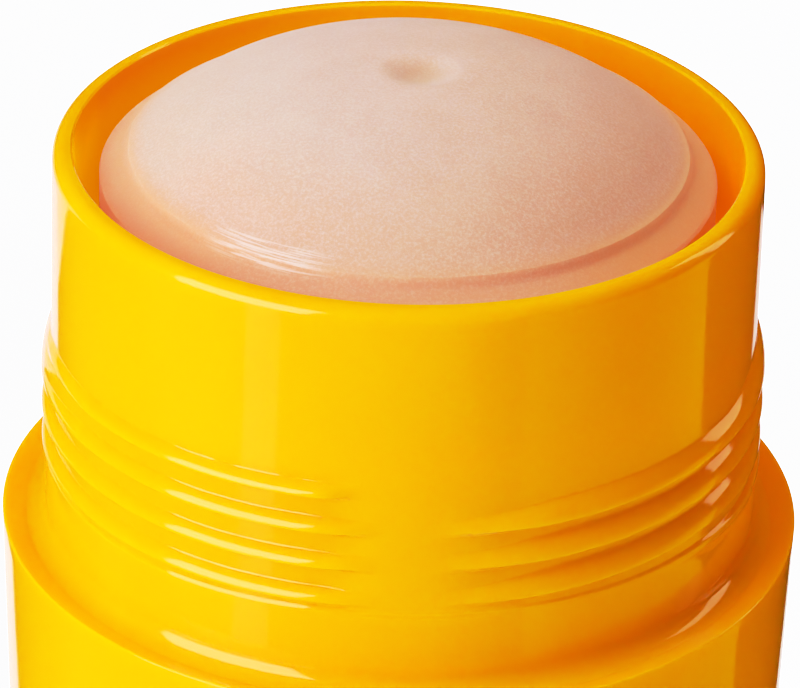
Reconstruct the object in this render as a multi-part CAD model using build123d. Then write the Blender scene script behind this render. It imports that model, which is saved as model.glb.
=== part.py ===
from build123d import *
import os

# Twist-up deodorant stick, millimetres. +Z is up, the origin is the centre of the base.

# Overall sizes
rim_height = 76.0            # top of the neck above the base
neck_radius = 22.0           # outside of the neck at the rim
body_radius = 25.33          # outside of the body at the shoulder's lip

# Neck and the band that holds the cap's thread, which is drawn at its major radius
neck_draft = 0.0101          # growth of the neck's radius for each mm below the rim
neck_wall = 1.26
rim_round = 0.8              # outer edge of the rim
rim_break = 0.12             # inner edge of the rim
band_top_drop = 11.5         # rim down to the top of the thread band
thread_rise = 0.72           # thread's major radius beyond the neck's radius at the rim
band_lead_in = 0.35
lip_drop = 25.1              # rim down to the lip of the shoulder
shoulder_fall = 0.15         # slope of the shoulder over its width
collar_fillet = 1.2
lip_round = 0.15

# Body of the case
body_draft = 0.0191          # loss of radius for each mm below the lip
body_wall = 1.35
shoulder_wall = 1.5
case_rib_count = 8
case_rib_width = 1.2
case_rib_gap = 0.4           # between the ribs and the barrel
snap_bead = 0.3              # bead that holds the barrel's flange
seat_gap = 0.1               # barrel flange inside the case

# Barrel that the stick rides in
barrel_gap = 0.14            # barrel inside the neck
barrel_wall = 1.2
barrel_top_drop = 9.0        # rim down to the barrel's top edge
barrel_floor = 2.0
floor_gap = 0.1              # barrel floor above the snap bead
key_width = 1.6
key_height = 0.9
key_count = 2

# Product and elevator
stick_gap = 0.3              # product inside the barrel
elevator_gap = 0.25          # elevator inside the barrel
key_gap = 0.3
flange_drop = 1.7            # rim down to the outer edge of the product's flange
dome_edge_drop = 0.5         # rim down to the foot of the dome
dome_edge_inset = 1.8        # width of the sloping flange round the dome
dome_rise = 5.7
dome_fullness = 0.65         # 1 is a parabola, 0.5 an ellipse
dimple_radius = 1.9
dimple_depth = 0.5
bore_gap = 0.4               # product round the screw
bore_head_room = 1.0
elevator_plate = 1.6
elevator_rim_wall = 1.5
elevator_rim_height = 3.0
hub_wall = 2.1
hub_height = 9.8
fin_count = 4
fin_width = 1.2
fin_height = 5.0

# Screw
screw_radius = 3.5           # major radius of the lead screw
running_gap = 0.05
journal_rise = 0.5           # journal beyond the thread's radius
collar_reach = 2.0           # collar beyond the journal
collar_height = 1.5
collar_lift = 0.05           # collar above the barrel's floor
elevator_lift = 0.35         # elevator above the collar at rest
screw_top_drop = 10.0        # rim down to the screw's tip
screw_tip_chamfer = 0.8
shank_across_flats = 6.0
shank_gap = 0.05
barb_height = 0.8
barb_reach = 0.45

# Dial
dial_height = 8.5
dial_gap = 0.5               # running line between the dial and the case
dial_inset = 0.35            # dial inside the case's outer surface
dial_wall = 1.9
dial_hub_wall = 2.2
dial_hub_lift = 2.8          # base up to the bottom of the hub
dial_spigot_height = 0.9
dial_spigot_gap = 0.5        # spigot inside the snap bead
dial_spigot_wall = 1.4
dial_web_count = 6
dial_web_width = 1.2
flute_count = 48
flute_radius = 0.9
flute_depth = 0.35
flute_margin = 1.4           # plain height left above and below the flutes
dial_edge_chamfer = 0.5

# Heights and radii that follow
case_foot = dial_height + dial_gap
lip_height = rim_height - lip_drop
band_top = rim_height - band_top_drop
band_radius = neck_radius + thread_rise
bore_radius = neck_radius - neck_wall
foot_radius = body_radius - body_draft * (lip_height - case_foot)
shoulder_inner_radius = body_radius - body_wall
foot_inner_radius = foot_radius - body_wall
bead_height = case_foot + 2 * snap_bead
floor_height = bead_height + snap_bead + floor_gap
floor_top = floor_height + barrel_floor
barrel_radius = bore_radius - barrel_gap
barrel_bore = barrel_radius - barrel_wall
barrel_top = rim_height - barrel_top_drop
key_top = barrel_top - 2 * key_height
journal_radius = screw_radius + journal_rise
collar_radius = journal_radius + collar_reach
hub_radius = screw_radius + hub_wall
collar_foot = floor_top + collar_lift
collar_top = collar_foot + collar_height
elevator_foot = collar_top + elevator_lift
plate_top = elevator_foot + elevator_plate
screw_top = rim_height - screw_top_drop
stick_radius = barrel_bore - stick_gap
elevator_radius = barrel_bore - elevator_gap
dial_radius = foot_radius - dial_inset


def neck_radius_at(height):
    return neck_radius + neck_draft * (rim_height - height)


def turned(*outline):
    """A solid turned about Z from a closed outline of (radius, height) points."""
    corners = [(radius, 0, height) for radius, height in outline]
    return revolve(make_face(Polyline(corners, close=True)), Axis.Z)


def tube(outer, inner, foot, top):
    return turned((inner, foot), (outer, foot), (outer, top), (inner, top))


def rod(radius, foot, top):
    return turned((0, foot), (radius, foot), (radius, top), (0, top))


def upright_bar(inner, outer, width, foot, top):
    """A bar that stands on end between two radii, on the +Y side."""
    size = (width, outer - inner, top - foot)
    return Pos(0, (inner + outer) / 2, (foot + top) / 2) * Box(*size)


def around(shape, count):
    """Copies of a shape, evenly spaced about Z."""
    return [Rot(0, 0, 360 * turn / count) * shape for turn in range(count)]


def ring_edges(shape, radius, height):
    """The circular edges of one radius at one height."""
    circles = shape.edges().filter_by(GeomType.CIRCLE)
    return [e for e in circles
            if abs(e.radius - radius) < 0.01 and abs(e.arc_center.Z - height) < 0.01]


def case_skin():
    """Neck, thread band, shoulder and body as one turned shell."""
    band_neck = neck_radius_at(band_top)
    shoulder_height = lip_height + shoulder_fall
    neck_inside_foot = lip_height - shoulder_wall
    skin = turned(
        (bore_radius, rim_height),
        (neck_radius, rim_height),
        (band_neck, band_top),
        (band_radius, band_top - band_lead_in),
        (band_radius, shoulder_height),
        (body_radius, lip_height),
        (foot_radius, case_foot),
        (foot_inner_radius, case_foot),
        (shoulder_inner_radius, neck_inside_foot),
        (bore_radius, neck_inside_foot),
    )
    skin = fillet(ring_edges(skin, neck_radius, rim_height), rim_round)
    skin = chamfer(ring_edges(skin, bore_radius, rim_height), rim_break)
    skin = fillet(ring_edges(skin, band_radius, shoulder_height), collar_fillet)
    return fillet(ring_edges(skin, body_radius, lip_height), lip_round)


def outer_case():
    """The case: its skin, the stiffening ribs inside it and the snap bead at its foot."""
    ribs = around(
        upright_bar(barrel_radius + case_rib_gap, shoulder_inner_radius + body_wall / 2,
                    case_rib_width, floor_top, lip_height - shoulder_wall / 2),
        case_rib_count,
    )
    inside = turned(
        (0, case_foot),
        (foot_radius - body_wall / 2, case_foot),
        (body_radius - body_wall / 2, lip_height),
        (0, lip_height),
    )
    case = case_skin()
    for rib in ribs:
        case += rib & inside
    inner_at_bead = foot_inner_radius + body_draft * (bead_height - case_foot)
    bead = turned(
        (inner_at_bead + body_wall / 2, bead_height - snap_bead),
        (inner_at_bead, bead_height - snap_bead),
        (inner_at_bead - snap_bead, bead_height),
        (inner_at_bead, bead_height + snap_bead),
        (inner_at_bead + body_wall / 2, bead_height + snap_bead),
    )
    return case + bead


def inner_barrel():
    """The tube that the stick rides in, with its keys, floor and bearing hole."""
    flange_radius = foot_inner_radius - seat_gap
    barrel = tube(barrel_radius, barrel_bore, floor_height, barrel_top)
    barrel += rod(flange_radius, floor_height, floor_top)
    barrel = chamfer(ring_edges(barrel, barrel_bore, barrel_top), barrel_wall / 2)
    key = upright_bar(barrel_bore - key_height, barrel_bore + barrel_wall / 2,
                      key_width, floor_height + barrel_floor / 2, key_top)
    for copy in around(key, key_count):
        barrel += copy
    return barrel - rod(journal_radius + running_gap, floor_height, floor_top)


def keyways(top):
    """The slots that clear the barrel's keys."""
    slot = upright_bar(barrel_bore - key_height - key_gap, barrel_bore + barrel_wall,
                       key_width + 2 * key_gap, floor_top, top)
    return around(slot, key_count)


def elevator():
    """The platform that carries the stick, with its threaded hub and gripping fins."""
    rim_top = plate_top + elevator_rim_height
    platform = rod(elevator_radius, elevator_foot, plate_top)
    platform += tube(elevator_radius, elevator_radius - elevator_rim_wall, elevator_foot, rim_top)
    platform += rod(hub_radius, elevator_foot, elevator_foot + hub_height)
    fin = upright_bar(hub_radius - fin_width, elevator_radius - elevator_rim_wall / 2,
                      fin_width, elevator_foot, plate_top + fin_height)
    for copy in around(fin, fin_count):
        platform += Rot(0, 0, 180 / fin_count) * copy
    platform -= rod(screw_radius + running_gap, elevator_foot, elevator_foot + hub_height)
    for slot in keyways(rim_top):
        platform -= slot
    return platform


def dome_outline():
    """Heights of the dome over its radius, from its foot to the axis."""
    foot = rim_height - dome_edge_drop
    radius = stick_radius - dome_edge_inset
    steps = 14
    points = []
    for step in range(steps + 1):
        share = 1 - (step / steps) ** 2
        height = foot + dome_rise * (1 - share ** 2) ** dome_fullness
        points.append((radius * share, height))
    return points


def product_stick(platform):
    """The solid stick: flange, dome and dimple on top, moulded round the elevator below."""
    arc = [Vector(radius, 0, height) for radius, height in dome_outline()]
    dome = Spline(arc)
    side_top = Vector(stick_radius, 0, rim_height - flange_drop)
    side_foot = Vector(stick_radius, 0, plate_top)
    axis_foot = Vector(0, 0, plate_top)
    frame = Polyline([arc[-1], axis_foot, side_foot, side_top, arc[0]])
    stick = revolve(make_face([dome, frame]), Axis.Z)
    apex = rim_height - dome_edge_drop + dome_rise
    ball_radius = (dimple_radius ** 2 + dimple_depth ** 2) / (2 * dimple_depth)
    stick -= Pos(0, 0, apex - dimple_depth + ball_radius) * Sphere(ball_radius)
    stick -= rod(screw_radius + bore_gap, plate_top, screw_top + bore_head_room)
    for slot in keyways(key_top + key_gap):
        stick -= slot
    return stick - platform


def hexagon_bar(across_flats, foot, top):
    outline = RegularPolygon(across_flats / 2, 6, major_radius=False)
    return Pos(0, 0, foot) * extrude(outline, top - foot)


def lead_screw():
    """The screw: threaded rod, thrust collar, journal and the shank that drives it."""
    screw = rod(screw_radius, collar_top, screw_top)
    screw = chamfer(ring_edges(screw, screw_radius, screw_top), screw_tip_chamfer)
    screw += rod(collar_radius, collar_foot, collar_top)
    screw += rod(journal_radius, dial_height, collar_foot)
    screw += hexagon_bar(shank_across_flats, dial_hub_lift - barb_height, dial_height)
    barb_radius = shank_across_flats / 2 + barb_reach
    return screw + rod(barb_radius, dial_hub_lift - 2 * barb_height, dial_hub_lift)


def twist_dial():
    """The dial that turns the screw and that the pack stands on."""
    deck_foot = dial_height - dial_wall
    hub_outer = shank_across_flats / 2 + shank_gap + dial_hub_wall
    spigot_radius = foot_inner_radius - snap_bead - dial_spigot_gap
    dial = tube(dial_radius, dial_radius - dial_wall, 0, dial_height)
    dial += rod(dial_radius, deck_foot, dial_height)
    dial = chamfer(ring_edges(dial, dial_radius, 0), dial_edge_chamfer)
    dial += rod(hub_outer, dial_hub_lift, dial_height)
    dial += tube(spigot_radius, spigot_radius - dial_spigot_wall,
                 dial_height - dial_wall / 2, dial_height + dial_spigot_height)
    web = upright_bar(hub_outer - dial_hub_wall / 2, dial_radius - dial_wall / 2,
                      dial_web_width, dial_hub_lift, dial_height - dial_wall / 2)
    for copy in around(web, dial_web_count):
        dial += copy
    flute_centre = dial_radius + flute_radius - flute_depth
    flute = Pos(flute_centre, 0, 0) * rod(flute_radius, flute_margin, dial_height - flute_margin)
    dial -= around(flute, flute_count)
    return dial - hexagon_bar(shank_across_flats + 2 * shank_gap, 0, dial_height)


def main():
    platform = elevator()
    pieces = {
        "outer_case": outer_case(),
        "inner_barrel": inner_barrel(),
        "elevator": platform,
        "product_stick": product_stick(platform),
        "lead_screw": lead_screw(),
        "twist_dial": twist_dial(),
    }
    os.makedirs("parts", exist_ok=True)
    for name, piece in pieces.items():
        export_step(piece, f"parts/{name}.step")


main()
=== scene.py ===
import math

import bpy
import numpy as np
from mathutils import Matrix, Vector


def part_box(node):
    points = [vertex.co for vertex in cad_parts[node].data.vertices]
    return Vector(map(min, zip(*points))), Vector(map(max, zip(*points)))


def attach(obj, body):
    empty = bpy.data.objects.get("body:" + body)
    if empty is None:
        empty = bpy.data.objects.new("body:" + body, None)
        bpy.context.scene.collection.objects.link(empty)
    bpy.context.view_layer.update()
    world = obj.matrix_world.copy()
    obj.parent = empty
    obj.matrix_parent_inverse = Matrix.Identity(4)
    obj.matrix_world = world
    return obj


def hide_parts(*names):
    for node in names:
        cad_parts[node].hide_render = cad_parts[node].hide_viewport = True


# A twist-up deodorant stick. Lengths are millimetres up to the point where a mesh, light or
# camera is made, and MM turns them into metres there. A depth is measured down from the rim,
# and an azimuth in degrees from the front (-Y) towards +X.

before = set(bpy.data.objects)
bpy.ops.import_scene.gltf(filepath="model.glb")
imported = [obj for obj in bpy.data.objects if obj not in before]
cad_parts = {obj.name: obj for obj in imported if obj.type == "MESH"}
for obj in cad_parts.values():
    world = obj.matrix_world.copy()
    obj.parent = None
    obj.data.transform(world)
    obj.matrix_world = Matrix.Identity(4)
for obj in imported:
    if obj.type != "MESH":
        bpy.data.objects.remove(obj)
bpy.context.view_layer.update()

MM = 0.001
sharp_angle = math.radians(38)


def span(node):
    """A CAD node's outer radius, lowest height and highest height, in millimetres."""
    low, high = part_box(node)
    return high.x / MM, low.z / MM, high.z / MM


body_radius, case_foot, rim_height = span("outer_case")
stick_radius, stick_foot, _ = span("product_stick")

# Neck
neck_radius = 22.0
neck_draft = 0.0101          # growth of the neck's radius for each mm of depth
bore_radius = 20.74
rim_round = 0.84
rim_break = 0.12             # the bevel on the rim's inner edge
plain_end = 9.8              # depth down to which the neck is a plain cone
lit_foot = 60.0              # height above which the bore's face has a painted glow, for light through the wall

# Thread of the neck, a single right-hand start
pitch = 2.4
first_crest = 12.28          # depth of the first crest at the front
crest_radius = 22.78
groove_radius = 22.16
underside = 0.35             # height of the steep face under a crest
ramp_left, ramp_right = 0.9, 1.6    # length of the sloping face above a crest
root_share = 0.13            # part of a ramp that its hollow root takes
first_ramp = 0.9             # length of the first crest's ramp, as a part of the others'
slow_entry = 3.2             # length of the first ramp far round on the left
side_entry = 1.0             # what is added to the first ramp at the right side
crests_below = 3             # pitches from the first crest to the last groove
last_groove_radius = 22.48   # the shallow groove between the last crest and the collar
thread_start = 10.8          # depths between which the skin follows the thread
thread_end = 20.95
thread_rows = 138

# Azimuths between which a feature of the thread comes or goes
gap_left, gap_right = (2, 13), (4, 26)          # the left one is counted towards -X
widening, back_round = (4, 30), (110, 170)
first_ridge_rise, first_ridge_fall, first_ridge_back = (-85, -52), (-12, -5), (-180, -150)
slow_entry_end = (-60, -20)
side_rise, side_fall = (62, 84), (105, 150)
groove_deepens = (60, 160)
collar_left, collar_right, collar_back = (0, 50), (10, 60), (120, 170)
bulge_rise, bulge_fall = (40, 75), (100, 160)

# Gap in the thread at the front, and the seam under it
gap_top = 11.0
gap_foot_radius = 22.55
seam_depth = 20.25           # the collar's top edge, with a fine groove in front
seam_width = 0.10
seam_cut = 0.05

# Collar, shoulder and body
collar_radius = 22.60
collar_step = 0.32           # height of the rise from the last groove to the collar
collar_drop_left = 0.45      # how much lower the collar's edge runs beside the gap
collar_drop_right = 0.15
bulge_end = 20.7             # depth where the last crest starts to sink into the collar
bulge_fade = 0.25
collar_fillet = 1.3
lip_depth = 25.1
shoulder_fall = -0.4         # the shoulder is a little dished towards the collar
lip_round = 0.13
body_draft = 0.0191          # narrowing of the body's radius for each mm below the lip
body_wall = 1.35
shoulder_wall = 1.5
bead = 0.3                   # the ring inside the foot that the barrel snaps over
foot_bevel = 0.2
rib_count = 8
rib_half_width = 0.6
rib_reach = 21.0             # radius of the ribs' inner faces
rib_foot_height = 11.7
case_columns = 448

# Stick
flange_depth = 1.7
flange_width = 1.8
edge_round = 0.12
dome_foot_depth = 0.5
dome_radius = stick_radius - flange_width
dome_rise = 5.69
dome_fullness = 0.9          # less makes the dome's flanks steeper
dome_flatness = 2.5          # more makes its top flatter
dome_fall = 4                # steepness of the dome's surface beyond its foot
fillet_reach = 1.5           # height over which the dome and the flange run together
dimple_radius = 2.7
dimple_depth = 0.6
dimple_shift = 0.6           # along x from the axis
stick_bore = 3.9
stick_bore_top = 67.0
keyway_radius = 18.2
keyway_top = 65.5
keyway_half_width = 1.1
stick_columns = 360


def clamp(value, low=0.0, high=1.0):
    """The value, held between low and high."""
    return np.minimum(np.maximum(value, low), high)


def smooth(value, start, end):
    """0 before start, 1 after end, and an easy curve between them."""
    share = clamp((value - start) / (end - start))
    return share * share * (3 - 2 * share)


def between(value, rise, fall):
    """1 between two eased edges, each given as its start and end."""
    return smooth(value, *rise) * (1 - smooth(value, *fall))


def blend(first, second, share):
    """The first at a share of 0 and the second at a share of 1."""
    return first + (second - first) * share


def arc(centre, size, start, end, steps):
    """(radius, depth) points on a round, with angles in degrees from outwards towards up."""
    angles = np.radians(np.linspace(start, end, steps + 1))
    return [(centre[0] + size * math.cos(a), centre[1] - size * math.sin(a)) for a in angles]


# Meshes

def mesh_piece(name, points, faces, body, stands_for):
    """A smooth-shaded piece from points in millimetres, riding on a body."""
    mesh = bpy.data.meshes.new(name)
    mesh.from_pydata((points * MM).tolist(), [], faces)
    mesh.polygons.foreach_set("use_smooth", [True] * len(mesh.polygons))
    mesh.set_sharp_from_angle(angle=sharp_angle)
    mesh.update()
    piece = bpy.data.objects.new(name, mesh)
    bpy.context.scene.collection.objects.link(piece)
    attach(piece, body)
    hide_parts(stands_for)
    return piece


def turned_points(azimuths, radii, depths):
    """Points of a skin whose radius and depth may change round the axis, row after row."""
    angle = np.radians(azimuths)[None, :]
    x = radii * np.sin(angle)
    y = -radii * np.cos(angle)
    return np.stack([x, y, rim_height - depths], axis=-1).reshape(-1, 3)


def turned_faces(rows, columns, closed):
    """Quads between neighbouring rows, and from the last row to the first if it is closed."""
    faces = []
    for row in range(rows if closed else rows - 1):
        here, below = row * columns, (row + 1) % rows * columns
        for column in range(columns):
            beside = (column + 1) % columns
            faces.append((here + column, below + column, below + beside, here + beside))
    return faces


def even_azimuths(count):
    """So many azimuths round the whole axis, from the back."""
    return np.arange(count) * 360.0 / count - 180.0


# Thread of the neck

def ramp_length(azimuth):
    """Length of the sloping face above each crest, which grows wide on the right."""
    wide = smooth(azimuth, *widening) * (1 - smooth(np.abs(azimuth), *back_round))
    return blend(ramp_left, ramp_right, wide)


def ramp_rise(share):
    """Rise over a ramp: a small hollow at its root, and a larger round up to its crest."""
    share = clamp(share)
    hollow = share ** 2 / root_share
    rounded = 1 - (1 - share) ** 2 / (1 - root_share)
    return np.where(share < root_share, hollow, rounded)


def tooth(turns, ramp_share):
    """Relief of the thread, 1 on a crest and 0 in a groove, at a place counted in pitches."""
    place = turns % 1.0
    below = 1 - smooth(place, 0, underside / pitch)
    ramp = ramp_rise((place - (1 - ramp_share)) / ramp_share)
    return np.maximum(below, ramp)


def gap_radius(depth):
    """The smooth skin of the gap, which widens evenly down to the seam."""
    plain = neck_radius + neck_draft * depth
    top_radius = neck_radius + neck_draft * gap_top
    share = clamp((depth - gap_top) / (seam_depth - gap_top))
    return np.maximum(plain, blend(top_radius, gap_foot_radius, share))


def first_ridge_share(azimuth):
    """1 where the first ridge has entered, on the left and round the back, and 0 elsewhere."""
    left = between(azimuth, first_ridge_rise, first_ridge_fall)
    return clamp(left + 1 - smooth(azimuth, *first_ridge_back))


def entry_length(azimuth, length):
    """Length of the ramp from the plain neck up to the next ridge."""
    entry = blend(slow_entry, length * first_ramp, smooth(azimuth, *slow_entry_end))
    return entry + side_entry * between(azimuth, side_rise, side_fall)


def ridges(azimuth, depth):
    """The neck's outer radius where it carries the ridges, from the plain neck down."""
    crest = first_crest - pitch * azimuth / 360
    length = ramp_length(azimuth)
    height = tooth((depth - crest) / pitch, length / pitch)
    ridge = groove_radius + (crest_radius - groove_radius) * height

    def entered(first, run):
        """The ridges below a run that climbs from the plain neck to a first crest."""
        climb = ramp_rise((depth - (first - run)) / run)
        lead = blend(neck_radius + neck_draft * depth, crest_radius, climb)
        return np.where(depth < first, lead, ridge)

    second = entered(crest + pitch, entry_length(azimuth, length))
    threaded = blend(second, entered(crest, length * first_ramp), first_ridge_share(azimuth))
    last_groove = blend(last_groove_radius, groove_radius, smooth(azimuth, *groove_deepens))
    below = depth > crest + crests_below * pitch
    return np.where(below, np.maximum(threaded, last_groove), threaded)


def thread_radius(azimuth, depth):
    """The outer radius of the threaded part of the neck, with its gap, seam and collar."""
    presence = smooth(-azimuth, *gap_left) + smooth(azimuth, *gap_right)
    surface = blend(gap_radius(depth), ridges(azimuth, depth), presence)

    edge = seam_depth + collar_drop_left * smooth(-azimuth, *collar_left)
    edge = edge + collar_drop_right * smooth(azimuth, *collar_right)
    edge = blend(edge, seam_depth, smooth(np.abs(azimuth), *collar_back))
    step = ramp_rise((depth - (edge - collar_step)) / collar_step)
    bulge = between(azimuth, bulge_rise, bulge_fall)
    bulge = bulge * (1 - clamp((depth - bulge_end) / bulge_fade))
    surface = blend(surface, blend(collar_radius, crest_radius, bulge), step)

    seam = seam_cut * np.exp(-((depth - seam_depth) / seam_width) ** 2)
    return surface - seam * (1 - presence)


# Case

def body_skin(depth):
    """The body's outer radius, which narrows a little towards the foot."""
    return body_radius - body_draft * (depth - lip_depth)


def case_outline():
    """Rows of the case's section, over the rim, down the outside and up the inside.

    A row is a radius and a depth, or the name of the face that gives its radius and a depth."""
    round_centre = (neck_radius - rim_round, rim_round)
    fillet_centre = (collar_radius + collar_fillet, lip_depth - shoulder_fall - collar_fillet)
    lip_centre = (body_radius - lip_round, lip_depth + lip_round)
    foot_depth = rim_height - case_foot
    foot_radius = body_skin(foot_depth)
    foot_inside = foot_radius - body_wall
    rib_foot_depth = rim_height - rib_foot_height
    shoulder_inside = lip_depth + shoulder_wall
    rows = [(bore_radius, rim_break), (bore_radius + rim_break, 0)]
    rows += arc(round_centre, rim_round, 90, 0, 12)
    rows += [(neck_radius + neck_draft * depth, depth) for depth in np.linspace(1.6, plain_end, 7)]
    rows += [("thread", depth) for depth in np.linspace(thread_start, thread_end, thread_rows)]
    rows += [(collar_radius, depth) for depth in (21.6, 22.8)]
    rows += arc(fillet_centre, collar_fillet, 180, 270, 14)
    rows += arc(lip_centre, lip_round, 90, 0, 5)
    rows += [(body_skin(depth), depth) for depth in np.linspace(lip_depth + 1, foot_depth - 0.3, 9)]
    rows += [(foot_radius - foot_bevel, foot_depth), (foot_inside, foot_depth)]
    rows += [(foot_inside, foot_depth - bead), (foot_inside - bead, foot_depth - 2 * bead)]
    rows += [(foot_inside, foot_depth - 3 * bead), ("wall", rib_foot_depth + 0.1)]
    rows += [("rib", rib_foot_depth), ("rib", shoulder_inside), (bore_radius, shoulder_inside)]
    rows += [(bore_radius, depth) for depth in (20.0, 12.0, 5.0, 1.5)]
    return rows


def wall_radius(azimuth, depth):
    """The inner face of the body's wall."""
    return np.full_like(azimuth, body_skin(depth) - body_wall)


def rib_radius(azimuth, depth):
    """The inner face of the body's wall, standing in towards the barrel at each rib."""
    spacing = 360 / rib_count
    offset = np.abs((azimuth + spacing / 2) % spacing - spacing / 2)
    on_rib = offset < math.degrees(rib_half_width / rib_reach)
    return np.where(on_rib, rib_reach, wall_radius(azimuth, depth))


def make_case():
    azimuths = even_azimuths(case_columns)
    skins = {"thread": thread_radius, "wall": wall_radius, "rib": rib_radius}
    rows = case_outline()
    radii = np.zeros((len(rows), len(azimuths)))
    depths = np.zeros_like(radii)
    for index, (radius, depth) in enumerate(rows):
        depths[index] = depth
        radii[index] = skins[radius](azimuths, depth) if radius in skins else radius
    points = turned_points(azimuths, radii, depths)
    faces = turned_faces(len(rows), len(azimuths), closed=True)
    return mesh_piece("threaded_case", points, faces, "case", "outer_case")


# Stick

def dome_depth(radius):
    """Depth of the dome's surface, less than 0 where it stands over the rim."""
    share = clamp(1 - (radius / dome_radius) ** dome_flatness)
    return dome_foot_depth - dome_rise * share ** dome_fullness


def top_depth(radius):
    """Depth of the stick's top, with a soft fillet where the dome meets the flange."""
    slope = (flange_depth - dome_foot_depth) / flange_width
    beyond = clamp(radius - dome_radius, 0, flange_width)
    flange = dome_foot_depth + slope * beyond
    dome = dome_depth(radius) + dome_fall * beyond
    near = clamp(fillet_reach - np.abs(dome - flange), 0, fillet_reach)
    return np.minimum(dome, flange) - near ** 2 / (4 * fillet_reach)


def stick_outline():
    """Rows of the stick's section from the dimple out over the dome and down the side."""
    rows = []
    for share in np.linspace(0.007, 1, 120):
        radius = dome_radius * math.sin(share * math.pi / 2)
        hollow = dimple_depth * (1 - smooth(radius, 0.3, dimple_radius))
        rows.append((radius, top_depth(radius) + hollow))
    for share in np.linspace(0.08, 0.94, 16):
        radius = blend(dome_radius, stick_radius, share)
        rows.append((radius, top_depth(radius)))
    rows += arc((stick_radius - edge_round, flange_depth + edge_round), edge_round, 60, 0, 4)
    return rows


def stick_rows(azimuths):
    """Rows of the stick's skin, each with its radius at every azimuth and its depth."""
    keyway_depth = rim_height - keyway_top
    foot_depth = rim_height - stick_foot
    whole = np.full_like(azimuths, stick_radius)
    offset = np.abs((azimuths + 90) % 180 - 90)
    in_keyway = offset < math.degrees(keyway_half_width / stick_radius)
    cut = np.where(in_keyway, keyway_radius, stick_radius)
    bore = np.full_like(azimuths, stick_bore)
    rows = [(np.full_like(azimuths, radius), depth) for radius, depth in stick_outline()]
    rows += [(whole, depth) for depth in (4.0, 7.0, keyway_depth - 0.05)]
    rows += [(cut, depth) for depth in (keyway_depth, 20.0, 35.0, 50.0, foot_depth)]
    rows += [(bore, depth) for depth in (foot_depth, rim_height - stick_bore_top)]
    return rows


def make_stick():
    azimuths = even_azimuths(stick_columns)
    rows = stick_rows(azimuths)
    radii = np.array([radius for radius, depth in rows])
    depths = np.array([np.full_like(azimuths, depth) for radius, depth in rows])
    points = turned_points(azimuths, radii, depths)
    near_dimple = 1 - smooth(radii, dimple_radius, 3 * dimple_radius)
    near_dimple[depths > flange_depth] = 0
    points[:, 0] += dimple_shift * near_dimple.reshape(-1)

    # The middle of the dimple and the top of the bore close the skin
    faces = turned_faces(len(rows), stick_columns, closed=False)
    top, bore_top = len(points), len(points) + 1
    middles = np.array([[dimple_shift, 0, rim_height - rows[0][1]], [0, 0, stick_bore_top]])
    points = np.concatenate([points, middles])
    last = (len(rows) - 1) * stick_columns
    for column in range(stick_columns):
        beside = (column + 1) % stick_columns
        faces.append((column, beside, top))
        faces.append((last + beside, last + column, bore_top))
    return mesh_piece("domed_stick", points, faces, "stick", "product_stick")


# Shader sums

class Level:
    """A number or colour that varies over a surface, held as a node's output."""

    def __init__(self, finish, socket):
        self.finish = finish
        self.socket = socket

    def sum(self, operation, first, second=0.0):
        return self.finish.node("ShaderNodeMath", {"operation": operation}, {0: first, 1: second})

    def __add__(self, other):
        return self.sum("ADD", self, other)

    def __radd__(self, other):
        return self.sum("ADD", other, self)

    def __sub__(self, other):
        return self.sum("SUBTRACT", self, other)

    def __rsub__(self, other):
        return self.sum("SUBTRACT", other, self)

    def __mul__(self, other):
        return self.sum("MULTIPLY", self, other)

    def __rmul__(self, other):
        return self.sum("MULTIPLY", other, self)

    def __truediv__(self, other):
        return self.sum("DIVIDE", self, other)

    def __pow__(self, other):
        return self.sum("POWER", self, other)


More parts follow.
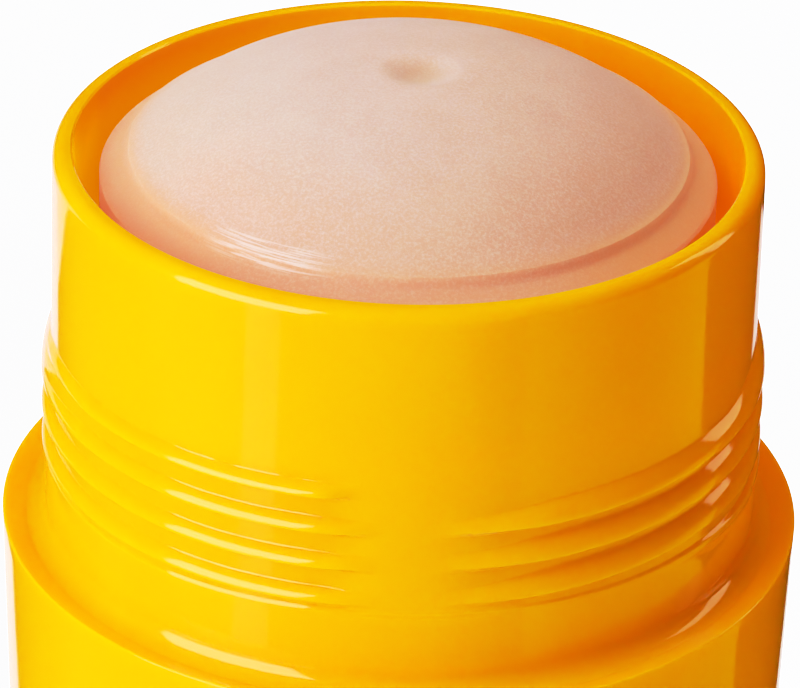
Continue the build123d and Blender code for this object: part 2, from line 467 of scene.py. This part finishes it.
class Finish:
    """A material with a Principled shader, and the nodes that drive it."""

    def __init__(self, name):
        self.material = bpy.data.materials.new(name)
        self.material.use_nodes = True
        self.tree = self.material.node_tree
        self.shader = self.tree.nodes["Principled BSDF"]
        self.place = self.node("ShaderNodeTexCoord", output="Object")

    def node(self, kind, settings=None, inputs=None, output=0):
        """Makes one node: its settings first, then the values or links of its sockets."""
        made = self.tree.nodes.new(kind)
        for key, value in (settings or {}).items():
            setattr(made, key, value)
        for key, value in (inputs or {}).items():
            if isinstance(value, Level):
                self.tree.links.new(value.socket, made.inputs[key])
            else:
                made.inputs[key].default_value = value
        return Level(self, made.outputs[output])

    def set(self, **sockets):
        """Sets the shader's sockets, with underscores for the spaces in their names."""
        for key, value in sockets.items():
            socket = self.shader.inputs[key.replace("_", " ")]
            if isinstance(value, Level):
                self.tree.links.new(value.socket, socket)
            else:
                socket.default_value = value

    def noise(self, size, detail=2.0, stretch=(1, 1, 1), roughness=0.5):
        """Soft noise whose blobs are about this many millimetres across."""
        scale = tuple(part / (size * MM) for part in stretch)
        place = self.node(
            "ShaderNodeVectorMath", {"operation": "MULTIPLY"}, {0: self.place, 1: scale})
        return self.node("ShaderNodeTexNoise", None, {
            "Vector": place, "Scale": 1.0, "Detail": detail, "Roughness": roughness})

    def streaks(self, along, across):
        """Fine noise drawn out along the first of two values."""
        place = self.node("ShaderNodeCombineXYZ", None, {0: along, 1: across})
        return self.node("ShaderNodeTexNoise", None, {
            "Vector": place, "Scale": 1.0, "Detail": 3.0, "Roughness": 0.6})

    def band(self, value, rise, fall):
        """1 between two eased edges, each given as its own low and high value."""
        return self.ramp(value, *rise) * (1 - self.ramp(value, *fall))

    def ramp(self, value, low, high):
        """0 where value is under low, 1 where it is over high."""
        return self.node("ShaderNodeMapRange", {"interpolation_type": "SMOOTHSTEP"}, {
            "Value": value, "From Min": low, "From Max": high})

    def colour(self, share, first, second):
        """The first colour at a share of 0 and the second at a share of 1."""
        return self.node("ShaderNodeMix", {"data_type": "RGBA"}, {
            0: share,
            6: first if isinstance(first, Level) else (*first, 1),
            7: second if isinstance(second, Level) else (*second, 1),
        }, output=2)

    def bump(self, height, distance):
        """Sets the normal from a height of 0 to 1 that stands for so many millimetres."""
        normal = self.node("ShaderNodeBump", None, {
            "Height": height, "Distance": distance * MM, "Strength": 1.0})
        self.set(Normal=normal)

    def axis(self, name):
        """X, Y or Z of the piece, in millimetres."""
        return self.node("ShaderNodeSeparateXYZ", None, {0: self.place}, output=name) / MM

    def radius(self, across=0.0):
        """Distance from the pack's axis, or from a line beside it in X, in millimetres."""
        x, y = self.axis("X") - across, self.axis("Y")
        return (x * x + y * y) ** 0.5

    def azimuth(self):
        """Angle from the front towards +X, in degrees."""
        x, y = self.axis("X"), self.axis("Y")
        angle = self.node("ShaderNodeMath", {"operation": "ARCTAN2"}, {0: x, 1: 0 - y})
        return angle * (180 / math.pi)


# Finishes

def painted_bore_glow(finish):
    """Painted glow on the bore's face, standing in for light that comes through the neck's wall,
    and its colour there.
    """
    inside = 1 - finish.ramp(finish.radius(), bore_radius + 0.1, bore_radius + 0.3)
    height = finish.axis("Z")
    lit = inside * finish.band(
        height, (lit_foot, rim_height - 8.0), (rim_height - 3.5, rim_height + 1.0))
    # painted glow, redder towards the right
    painted_warmth_right = finish.ramp(finish.axis("X"), -6.0, 14.0)
    light = finish.colour(painted_warmth_right, (1.0, 0.54, 0.0), (1.0, 0.27, 0.0))
    return finish.colour(lit, (0.0, 0.0, 0.0), light)


def golden_plastic():
    """Glossy moulded polypropylene, golden yellow and a little translucent, with a painted glow on
    the bore's face.
    """
    finish = Finish("golden_plastic")
    flow = finish.noise(9.0, detail=3, stretch=(1, 1, 0.35))
    mottle = finish.noise(0.7, detail=2)
    peel = finish.noise(1.6, detail=2)
    shade = finish.ramp(flow, 0.3, 0.7)
    finish.bump(peel * 0.7 + mottle * 0.3, 0.0035)
    finish.set(
        Base_Color=finish.colour(shade, (0.95, 0.345, 0.0015), (0.95, 0.365, 0.003)),
        Roughness=0.06 + 0.03 * flow + 0.02 * mottle,
        Specular_Tint=(1.0, 1.0, 0.8, 1),
        IOR=1.49,
        Subsurface_Weight=0.5,
        Subsurface_Radius=(1.0, 0.6, 0.06),
        Subsurface_Scale=2.2 * MM,
        # painted glow on the bore's face, for light through the wall
        Emission_Color=painted_bore_glow(finish),
        Emission_Strength=0.3)
    return finish.material


def milky_gel():
    """The stick's milky, slightly translucent solid, with a fine frosty grain, and painted glow,
    shade and highlight near its top.
    """
    finish = Finish("milky_gel")
    radius, azimuth = finish.radius(), finish.azimuth()
    grain = finish.noise(0.18, detail=4, roughness=0.75)
    cloud = finish.noise(3.0, detail=4, roughness=0.65)
    frost = finish.ramp(grain, 0.40, 0.72)

    # Where the tints lie, most of them painted light and shade. Most are near the top only, so the
    # side is milky when it is raised.
    flange_height = rim_height - flange_depth
    near_top = finish.ramp(finish.axis("Z"), flange_height - 5.0, flange_height - 0.8)
    # painted warmth towards the right, for the warm light from that side
    painted_warmth_right = finish.ramp(finish.axis("X"), -6.0, 18.0) * near_top
    outer = finish.ramp(radius, 8.0, dome_radius) * near_top
    # where the gel has painted shade, on its front left
    front_left_shade = finish.band(azimuth, (-75.0, -50.0), (-25.0, 15.0))
    ahead = finish.band(azimuth, (-48.0, -20.0), (22.0, 50.0))
    flange = finish.ramp(radius, dome_radius - 1.3, dome_radius + 0.6) * near_top
    # painted light along the dome's crease on the right, lifting its shade
    crease_light = finish.band(
        radius, (dome_radius - 0.45, dome_radius - 0.1), (dome_radius + 0.1, dome_radius + 0.5))
    crease_light = crease_light * finish.ramp(azimuth, 30.0, 60.0) * near_top
    # where the dimple has painted shade
    dimple = 1 - finish.ramp(finish.radius(dimple_shift), 0.6, 0.9 * dimple_radius)

    # A short arc of fine scratches along the dome's foot, to the left of the front, their pale
    # colour partly a painted highlight
    scratches = finish.streaks(azimuth / 12.0, radius * 9.0)
    scrape_and_glint = finish.band(azimuth, (-46.0, -34.0), (-24.0, -12.0))
    scrape_and_glint = scrape_and_glint * finish.band(
        radius, (dome_radius - 1.1, dome_radius - 0.7), (dome_radius + 0.1, dome_radius + 0.5))
    scrape_and_glint = scrape_and_glint * finish.ramp(scratches, 0.42, 0.62)

    # painted orange glow of the translucent flange, redder on the right
    flange_glow = finish.colour(painted_warmth_right, (0.69, 0.275, 0.15), (0.60, 0.28, 0.09))
    body = finish.colour(
        finish.ramp(cloud, 0.35, 0.65), (0.535, 0.33, 0.262), (0.565, 0.355, 0.287))
    for share, tint in (
            # painted glow near the edge, for light from the orange case round the gel
            (outer * 0.45, (0.60, 0.31, 0.20)),
            # painted shade, darker on the front left near the edge
            (outer * front_left_shade * 0.5, (0.60, 0.265, 0.19)),
            # painted warmth on the right side of the gel
            (painted_warmth_right * 0.22, (0.58, 0.26, 0.12)),
            (frost * 0.22, (0.84, 0.72, 0.66)),
            # painted glow of the flange, weaker at the front
            (flange * (0.75 - 0.4 * ahead), flange_glow),
            # painted light along the crease
            (crease_light * 0.2, (0.80, 0.52, 0.33)),
            # painted shade in the dimple
            (dimple * 0.5, (0.50, 0.28, 0.17)),
            # scratch marks, made pale partly as a painted highlight
            (scrape_and_glint * 0.5, (0.88, 0.74, 0.66))):
        body = finish.colour(share, body, tint)
    finish.bump(grain * 0.7 + cloud * 0.3 + scrape_and_glint * scratches * 0.12, 0.035)
    finish.set(
        Base_Color=body,
        Roughness=0.55 + 0.2 * grain,
        IOR=1.42,
        Specular_IOR_Level=0.2,
        Subsurface_Weight=0.6,
        Subsurface_Radius=(1.0, 0.55, 0.35),
        Subsurface_Scale=3.0 * MM,
        Sheen_Weight=0.15,
        Sheen_Roughness=0.5)
    return finish.material


def natural_plastic():
    """Uncoloured moulded polypropylene for the parts inside."""
    finish = Finish("natural_plastic")
    flow = finish.noise(5.0, detail=2)
    grain = finish.noise(0.3, detail=2)
    finish.bump(grain, 0.006)
    finish.set(
        Base_Color=finish.colour(flow, (0.80, 0.79, 0.75), (0.86, 0.85, 0.82)),
        Roughness=0.35 + 0.15 * grain,
        Subsurface_Weight=0.2,
        Subsurface_Radius=(1.0, 0.9, 0.8),
        Subsurface_Scale=1.0 * MM)
    return finish.material


def finish_piece(piece, material):
    """Gives a piece one material, in place of any it came with."""
    piece.data.materials.clear()
    piece.data.materials.append(material)


# Studio

light_distance = 420          # from the middle of the neck
aim_depth = 15                # depth of the point that the lights face
black = (0.01, 0.01, 0.01)
white = (1.0, 1.0, 1.0)
floor_paint = (0.9, 0.9, 0.9)

# Cards flat on the floor that show only in reflections: name, paint, glow and outline
floor_cards = (
    ("flag_left", black, 0.0,
     [(-40, -36), (-47, 26), (-57, 52), (-76, 102), (-142, 276), (-450, 276), (-450, -404)]),
    ("flag_front", black, 0.0,
     [(-33, -44), (-300, -400), (300, -400), (33, -44)]),
    ("flag_right", black, 0.0,
     [(45, 8), (152, 44), (500, 163), (500, 600), (29, 600), (29, 138), (68, 138), (66, 96),
      (45, 96)]),
    ("card_edge", (0.8, 0.66, 0.66), 0.45,
     [(29, 96), (66, 96), (68, 138), (29, 138)]),
    ("floor_gap", (0.28, 0.28, 0.28), 0.4,
     [(-40, -36), (-450, -404), (-300, -400), (-33, -44)]),
    ("floor_behind", floor_paint, 0.5,
     [(-300, 110), (29, 110), (29, 600), (-300, 600)]))


def place_by_aim(thing, spot, aim):
    """Stands a light or card at a spot so that its -Z side faces the aim."""
    spot, aim = Vector(spot) * MM, Vector(aim) * MM
    thing.location = spot
    thing.rotation_euler = (aim - spot).to_track_quat("-Z", "Y").to_euler()


def softbox(name, azimuth, elevation, size, watts, tint=white, in_reflections=True):
    """A rectangular light on a sphere round the neck, with its size as (width, height)."""
    light = bpy.data.lights.new(name, "AREA")
    light.shape = "RECTANGLE"
    light.size, light.size_y = size[0] * MM, size[1] * MM
    light.energy = watts
    light.color = tint
    holder = bpy.data.objects.new(name, light)
    bpy.context.scene.collection.objects.link(holder)
    turn, tilt = math.radians(azimuth), math.radians(elevation)
    level = math.cos(tilt)
    out = Vector((math.sin(turn) * level, -math.cos(turn) * level, math.sin(tilt)))
    centre = Vector((0, 0, rim_height - aim_depth))
    place_by_aim(holder, centre + out * light_distance, centre)
    holder.visible_glossy = in_reflections


def stage_sheet(name, corners, paint, glow=0.0, growth=None):
    """A flat stage piece from its corners. Its glow may grow between two values of y."""
    mesh = bpy.data.meshes.new(name)
    mesh.from_pydata([tuple(Vector(c) * MM) for c in corners], [], [tuple(range(len(corners)))])
    sheet = bpy.data.objects.new(name, mesh)
    bpy.context.scene.collection.objects.link(sheet)
    finish = Finish(name + "_paint")
    finish.set(Base_Color=(*paint, 1), Roughness=0.9, Specular_IOR_Level=0.0)
    finish.set(Emission_Color=(*paint, 1), Emission_Strength=glow)
    if growth:
        share = finish.ramp(finish.axis("Y"), *growth) * finish.ramp(finish.radius(), 40, 150)
        finish.set(Emission_Color=finish.colour(share, (0.0, 0.0, 0.0), paint))
    mesh.materials.append(finish.material)
    return sheet


def hide_from_camera(sheet):
    """Keeps a stage sheet to reflected and bounced light."""
    sheet.visible_camera = False
    sheet.visible_shadow = False


def reflection_card(name, paint, glow, outline, growth=None):
    """A card just over the floor that shows only in reflections, as a studio flag does."""
    card = stage_sheet(name, [(x, y, 0.3) for x, y in outline], paint, glow, growth)
    hide_from_camera(card)
    card.visible_diffuse = False


def square(half_width, height):
    """Corners of a level square."""
    return [(x * half_width, y * half_width, height)
            for x, y in ((-1, -1), (1, -1), (1, 1), (-1, 1))]


def make_studio():
    floor = stage_sheet("floor", square(6000, 0), floor_paint, glow=1.33)
    floor.visible_diffuse = False
    floor.visible_glossy = False
    hide_from_camera(stage_sheet("floor_bounce", square(300, 0.15), floor_paint, glow=0.42))
    for card in floor_cards:
        reflection_card(*card)
    reflection_card("card_right", (0.8, 0.62, 0.0), 1.0, [
        (33, -44), (300, -400), (500, -400), (500, 163), (152, 44), (45, 8)], (-100, 42))

    world = bpy.data.worlds.new("studio")
    bpy.context.scene.world = world
    world.use_nodes = True
    background = world.node_tree.nodes["Background"].inputs
    background["Color"].default_value = (*white, 1)
    background["Strength"].default_value = 0.02

    warm = (1.0, 0.62, 0.36)
    softbox("key_left", -50, 16, (335, 330), 2.3)
    softbox("top", 0, 80, (420, 300), 0.45, in_reflections=False)
    softbox("strip_right", 111, 22, (90, 300), 0.4, warm)
    softbox("overhead", -60, 58, (300, 200), 1.25, in_reflections=False)
    softbox("fill_right", 70, 50, (300, 200), 0.12, warm, in_reflections=False)
    softbox("back", 160, 38, (300, 200), 0.6, in_reflections=False)


def develop():
    """The tone curve: a little contrast, and a soft shoulder for the highlights."""
    brightest = 2.0
    tones = ((0.2, 0.155), (0.35, 0.34), (0.5, 0.54), (0.77, 0.74), (1.0, 0.82), (1.2, 0.9),
             (1.7, 1.0))
    blue_tones = ((0.02, 0.004), (0.06, 0.0275))
    view = bpy.context.scene.view_settings
    view.view_transform = "Standard"
    view.use_curve_mapping = True
    mapping = view.curve_mapping
    mapping.white_level = (brightest, brightest, brightest)
    blue, combined = mapping.curves[2], mapping.curves[3]
    for curve, points in ((combined, tones), (blue, blue_tones)):
        for light, tone in points:
            curve.points.new(light / brightest, tone)
    mapping.update()


def make_camera():
    """The camera, looking down at the neck through a long lens, and rolled slightly."""
    rise, roll = math.radians(28.585), math.radians(1.647)
    distance = 311.204
    aim = Vector((-0.22, 0, rim_height - 13.986))
    back = Vector((0, -math.cos(rise), math.sin(rise)))
    across = Vector((1, 0, 0))
    up = back.cross(across)
    right = across * math.cos(roll) + up * math.sin(roll)
    top = up * math.cos(roll) - across * math.sin(roll)
    camera_data = bpy.data.cameras.new("camera")
    camera_data.lens = 222.30
    camera_data.clip_start, camera_data.clip_end = 0.01, 20
    camera = bpy.data.objects.new("camera", camera_data)
    bpy.context.scene.collection.objects.link(camera)
    turn = Matrix((right, top, back)).transposed().to_4x4()
    camera.matrix_world = Matrix.Translation((aim + back * distance) * MM) @ turn
    bpy.context.scene.camera = camera


make_camera()
gold = golden_plastic()
natural = natural_plastic()
finish_piece(make_case(), gold)
finish_piece(make_stick(), milky_gel())
for node, material in (("inner_barrel", gold), ("twist_dial", gold),
                       ("elevator", natural), ("lead_screw", natural)):
    finish_piece(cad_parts[node], material)
make_studio()
develop()
